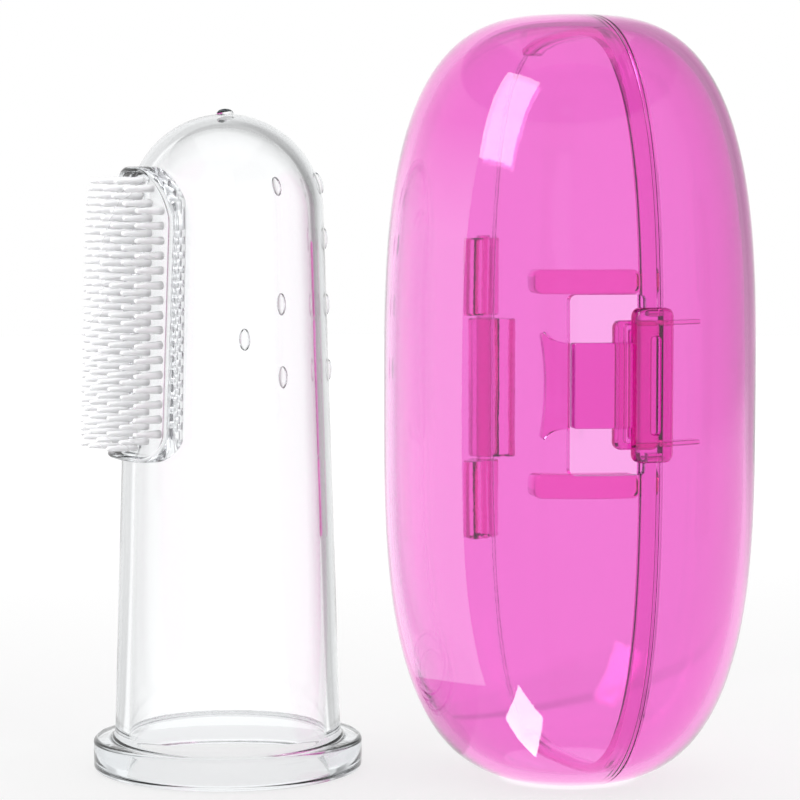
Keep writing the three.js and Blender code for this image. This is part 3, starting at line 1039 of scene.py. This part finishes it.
def floor():
    """A round floor, bright mostly by its own glow, which grows further out to meet the white background."""
    mesh = bpy.data.meshes.new("floor")
    bm = bmesh.new()
    bmesh.ops.create_circle(bm, cap_ends=True, segments=96, radius=FLOOR_RADIUS)
    bm.to_mesh(mesh)
    bm.free()
    obj = bpy.data.objects.new("floor", mesh)
    bpy.context.scene.collection.objects.link(obj)
    obj.location.z = -0.0001
    material = bpy.data.materials.new("floor")
    material.use_nodes = True
    tree = material.node_tree
    shader = tree.nodes["Principled BSDF"]
    shader.inputs["Base Color"].default_value = (0.28, 0.28, 0.28, 1)
    shader.inputs["Roughness"].default_value = 0.9
    shader.inputs["Specular IOR Level"].default_value = 0.1
    shader.inputs["Emission Color"].default_value = (1, 1, 1, 1)
    where = node(tree, "ShaderNodeTexCoord", (-800, 0))
    length = node(tree, "ShaderNodeVectorMath", (-600, 0))
    length.operation = "LENGTH"
    tree.links.new(where.outputs["Object"], length.inputs[0])
    glow = map_range(tree, length.outputs["Value"], (0.05, 0.35), (0.73, 0.9))
    tree.links.new(glow, shader.inputs["Emission Strength"])
    mesh.materials.append(material)
    obj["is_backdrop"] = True


def softbox(name, location, target, size, power, receivers=None):
    """A soft rectangular light, on everything or on one collection only."""
    data = bpy.data.lights.new(name, "AREA")
    data.shape = "RECTANGLE"
    data.size, data.size_y = size
    data.energy = power
    obj = bpy.data.objects.new(name, data)
    bpy.context.scene.collection.objects.link(obj)
    obj.location = location
    obj.rotation_euler = (Vector(target) - Vector(location)).to_track_quat("-Z", "Y").to_euler()
    if receivers:
        obj.light_linking.receiver_collection = receivers


def math_node(tree, operation, *inputs):
    """One Math node; each input is a number or another node's output."""
    made = tree.nodes.new("ShaderNodeMath")
    made.operation = operation
    for i, value in enumerate(inputs):
        if isinstance(value, (int, float)):
            made.inputs[i].default_value = value
        else:
            tree.links.new(value, made.inputs[i])
    return made.outputs[0]


def wall_level(tree, centre):
    """How bright the studio wall is at a point: white behind the brush, a darker card on either side of
    that, paler on the left, and white everywhere else round the stage."""
    where = node(tree, "ShaderNodeNewGeometry", (-1600, 0))
    split = node(tree, "ShaderNodeSeparateXYZ", (-1400, 0))
    tree.links.new(where.outputs["Position"], split.inputs[0])
    x = math_node(tree, "SUBTRACT", split.outputs["X"], centre.x)
    behind = math_node(tree, "SUBTRACT", split.outputs["Y"], centre.y)
    up = math_node(tree, "MAXIMUM", math_node(tree, "SUBTRACT", split.outputs["Z"], BRUSH_HEIGHT * MM), 0)
    beside = math_node(tree, "SUBTRACT", math_node(tree, "ABSOLUTE", x), BACKDROP_HALF_WIDTH)
    beside = math_node(tree, "MAXIMUM", beside, 0)
    across_squared = math_node(tree, "MULTIPLY", beside, beside)
    up_squared = math_node(tree, "MULTIPLY", up, up)
    off = math_node(tree, "SQRT", math_node(tree, "ADD", across_squared, up_squared))
    angle = math_node(tree, "ARCTAN2", off, behind)
    ramp = node(tree, "ShaderNodeValToRGB", (0, 0))
    stops = ramp.color_ramp.elements
    while len(stops) < len(WALL_LEVELS):
        stops.new(0.5)
    for stop, (degrees, level) in zip(stops, WALL_LEVELS):
        stop.position = degrees / 90
        stop.color = (level, level, level, 1)
    tree.links.new(math_node(tree, "DIVIDE", angle, PI / 2), ramp.inputs["Fac"])
    share = map_range(tree, x, (-0.1, 0.1), (LEFT_CARD_SHARE, 1))
    lack = math_node(tree, "MULTIPLY", math_node(tree, "SUBTRACT", 1, ramp.outputs["Color"]), share)
    return math_node(tree, "SUBTRACT", 1, lack), split


def right_shade(tree, split):
    """Less light from the wall to the right of the stage."""
    across = map_range(tree, split.outputs["X"], (0.28, 0.42), (0, 1))
    depth = map_range(tree, split.outputs["Y"], (-0.2, 0), (0, 1))
    share = math_node(tree, "MULTIPLY", across, depth)
    return math_node(tree, "SUBTRACT", 1, math_node(tree, "MULTIPLY", share, RIGHT_SHADE))


def wall_material(name, centre, rest):
    """The glow of the studio wall, or only what it lacks to be white."""
    material = bpy.data.materials.new(name)
    material.use_nodes = True
    material.cycles.emission_sampling = "NONE"
    tree = material.node_tree
    tree.nodes.clear()
    output = node(tree, "ShaderNodeOutputMaterial", (600, 0))
    glow = node(tree, "ShaderNodeEmission", (400, 0))
    level, split = wall_level(tree, centre)
    if not rest:
        strength = math_node(tree, "MULTIPLY", right_shade(tree, split), WALL_STRENGTH)
        tree.links.new(strength, glow.inputs["Strength"])
        tree.links.new(level, glow.inputs["Color"])
        tree.links.new(glow.outputs[0], output.inputs["Surface"])
        return material
    inverted = node(tree, "ShaderNodeInvert", (200, 0), Fac=1)
    tree.links.new(map_range(tree, split.outputs["X"], (0.03, 0.2), (1, 0.3)), glow.inputs["Strength"])
    tree.links.new(level, inverted.inputs["Color"])
    tree.links.new(inverted.outputs[0], glow.inputs["Color"])
    add_to_what_is_behind(tree, glow, output)
    return material


def add_to_what_is_behind(tree, glow, output):
    """Makes a glowing surface clear, so that it only adds light."""
    through = node(tree, "ShaderNodeBsdfTransparent", (400, -200))
    both = node(tree, "ShaderNodeAddShader", (500, 0))
    tree.links.new(glow.outputs[0], both.inputs[0])
    tree.links.new(through.outputs[0], both.inputs[1])
    tree.links.new(both.outputs[0], output.inputs["Surface"])


def stage_piece(name, verts, faces, material):
    """A part of the stage that casts no shadow and is seen only in and through the pieces."""
    mesh = bpy.data.meshes.new(name)
    mesh.from_pydata(verts, [], faces)
    mesh.materials.append(material)
    obj = bpy.data.objects.new(name, mesh)
    bpy.context.scene.collection.objects.link(obj)
    obj.visible_camera = False
    obj.visible_diffuse = False
    obj.visible_shadow = False
    obj.visible_volume_scatter = False
    obj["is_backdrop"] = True
    return obj


def studio_wall(name, centre, inward, material):
    """A curved wall round the stage, rising from the floor, seen only in and through the pieces."""
    segments = 96
    verts = []
    for i in range(segments):
        angle = 2 * PI * i / segments
        for radius, height in WALL_PROFILE:
            r = radius - inward
            verts.append((centre.x + r * math.sin(angle), centre.y + r * math.cos(angle), height + inward))
    size = len(WALL_PROFILE)
    faces = []
    for i in range(segments):
        j = (i + 1) % segments
        for k in range(size - 1):
            faces.append([i * size + k, j * size + k, j * size + k + 1, i * size + k + 1])
    return stage_piece(name, verts, faces, material)


def bright_card(name, corners, faces, strength):
    """A glowing card for one highlight, seen only in reflections."""
    material = bpy.data.materials.new(name)
    material.use_nodes = True
    material.cycles.emission_sampling = "NONE"
    tree = material.node_tree
    tree.nodes.clear()
    output = node(tree, "ShaderNodeOutputMaterial", (200, 0))
    glow = node(tree, "ShaderNodeEmission", (0, 0), Strength=strength)
    tree.links.new(glow.outputs[0], output.inputs["Surface"])
    obj = stage_piece(name, corners, faces, material)
    obj.visible_transmission = False
    return obj


def world():
    """White up to a little above the horizon, softer grey overhead."""
    made = bpy.data.worlds.new("studio")
    bpy.context.scene.world = made
    made.use_nodes = True
    tree = made.node_tree
    tree.nodes.clear()
    output = node(tree, "ShaderNodeOutputWorld", (600, 0))
    background = node(tree, "ShaderNodeBackground", (400, 0), Strength=1)
    where = node(tree, "ShaderNodeTexCoord", (-400, 0))
    split = node(tree, "ShaderNodeSeparateXYZ", (-200, 0))
    ramp = node(tree, "ShaderNodeValToRGB", (0, 0))
    ramp.color_ramp.elements[0].position = 0.2
    ramp.color_ramp.elements[0].color = (1, 1, 1, 1)
    ramp.color_ramp.elements[1].position = 0.55
    ramp.color_ramp.elements[1].color = (0.6, 0.6, 0.6, 1)
    tree.links.new(where.outputs["Generated"], split.inputs[0])
    tree.links.new(split.outputs["Z"], ramp.inputs["Fac"])
    tree.links.new(ramp.outputs["Color"], background.inputs["Color"])
    tree.links.new(background.outputs[0], output.inputs["Surface"])


def side_panel(centre):
    """A curved glowing panel beside the case, clear to everything behind it, that shows only in the case's
    reflections as a painted pale highlight down its left side.
    """
    steps = 12
    radius = (CASE_RADIUS + PANEL_GAP) * MM
    start, end = PANEL_ANGLES
    corners = []
    for i in range(steps + 1):
        angle = math.radians(start + (end - start) * i / steps)
        x = centre.x - radius * math.sin(angle)
        y = centre.y - radius * math.cos(angle)
        corners.extend((x, y, height) for height in PANEL_HEIGHTS)
    faces = [[2 * i, 2 * i + 1, 2 * i + 3, 2 * i + 2] for i in range(steps)]
    obj = bright_card("side_panel", corners, faces, 1)
    tree = obj.data.materials[0].node_tree
    glow = tree.nodes["Emission"]
    glow.inputs["Color"].default_value = PANEL_COLOUR
    add_to_what_is_behind(tree, glow, tree.nodes["Material Output"])
    where = node(tree, "ShaderNodeNewGeometry", (-800, 0))
    split = node(tree, "ShaderNodeSeparateXYZ", (-600, 0))
    tree.links.new(where.outputs["Position"], split.inputs[0])
    fade = map_range(tree, split.outputs["Y"], (centre.y - 0.014, centre.y + 0.004), (2.9, 0.45))
    top = map_range(tree, split.outputs["Z"], (0.048, 0.06), (1, 0))
    tree.links.new(math_node(tree, "MULTIPLY", fade, top), glow.inputs["Strength"])
    return obj


def low_card(centre):
    """A small glowing card on the floor in front of the case, for the highlight near its foot."""
    corners = [(centre.x + x * MM, centre.y + y * MM, LOW_CARD_HEIGHT) for x, y in LOW_CARD]
    return bright_card("low_card", corners, [[0, 1, 2, 3]], LOW_CARD_STRENGTH)


def place_camera(centre):
    """The camera in front of the case, a little to the left of its axis and looking slightly down."""
    data = bpy.data.cameras.new("camera")
    data.lens = CAMERA_LENS
    data.sensor_width = 36
    data.clip_start = 0.01
    data.clip_end = 10
    obj = bpy.data.objects.new("camera", data)
    bpy.context.scene.collection.objects.link(obj)
    obj.location = (centre.x - CAMERA_LEFT, centre.y - CAMERA_DISTANCE, centre.z + CAMERA_RAISE)
    aim = Vector((obj.location.x, centre.y, centre.z))
    obj.rotation_euler = (aim - obj.location).to_track_quat("-Z", "Y").to_euler()
    bpy.context.scene.camera = obj


floor()
world()
middle = (cad_box[0] + cad_box[1]) / 2
case_pieces = bpy.data.collections.new("case_pieces")
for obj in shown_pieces():
    if body_of(obj) != ["finger_brush"]:
        case_pieces.objects.link(obj)
bristle_pieces = bpy.data.collections.new("bristle_pieces")
bristle_pieces.objects.link(bristle_piece)
softbox("key", (-0.5, -0.35, 0.55), middle, (0.35, 0.5), 4, case_pieces)
softbox("top", (0.0, 0.1, 0.9), middle, (0.8, 0.8), 0.8)
softbox("bristle_light", (-0.4, -0.35, 0.5), middle, (0.3, 0.3), 6, bristle_pieces)

brush_centre = Vector((flange_at.x, flange_at.y, 0))
case_centre = CASE_PLACE.to_translation()
studio_wall("studio_wall", brush_centre, 0, wall_material("studio_wall", brush_centre, False))
case_material = wall_material("case_wall", brush_centre, True)
case_wall = studio_wall("case_wall", brush_centre, CASE_WALL_INWARD, case_material)
for obj in (case_wall, side_panel(case_centre), low_card(case_centre)):
    obj.light_linking.receiver_collection = case_pieces

place_camera(case_centre)

scene = bpy.context.scene
scene.view_settings.view_transform = "Standard"
scene.cycles.max_bounces = 24
scene.cycles.transmission_bounces = 24
scene.cycles.transparent_max_bounces = 16
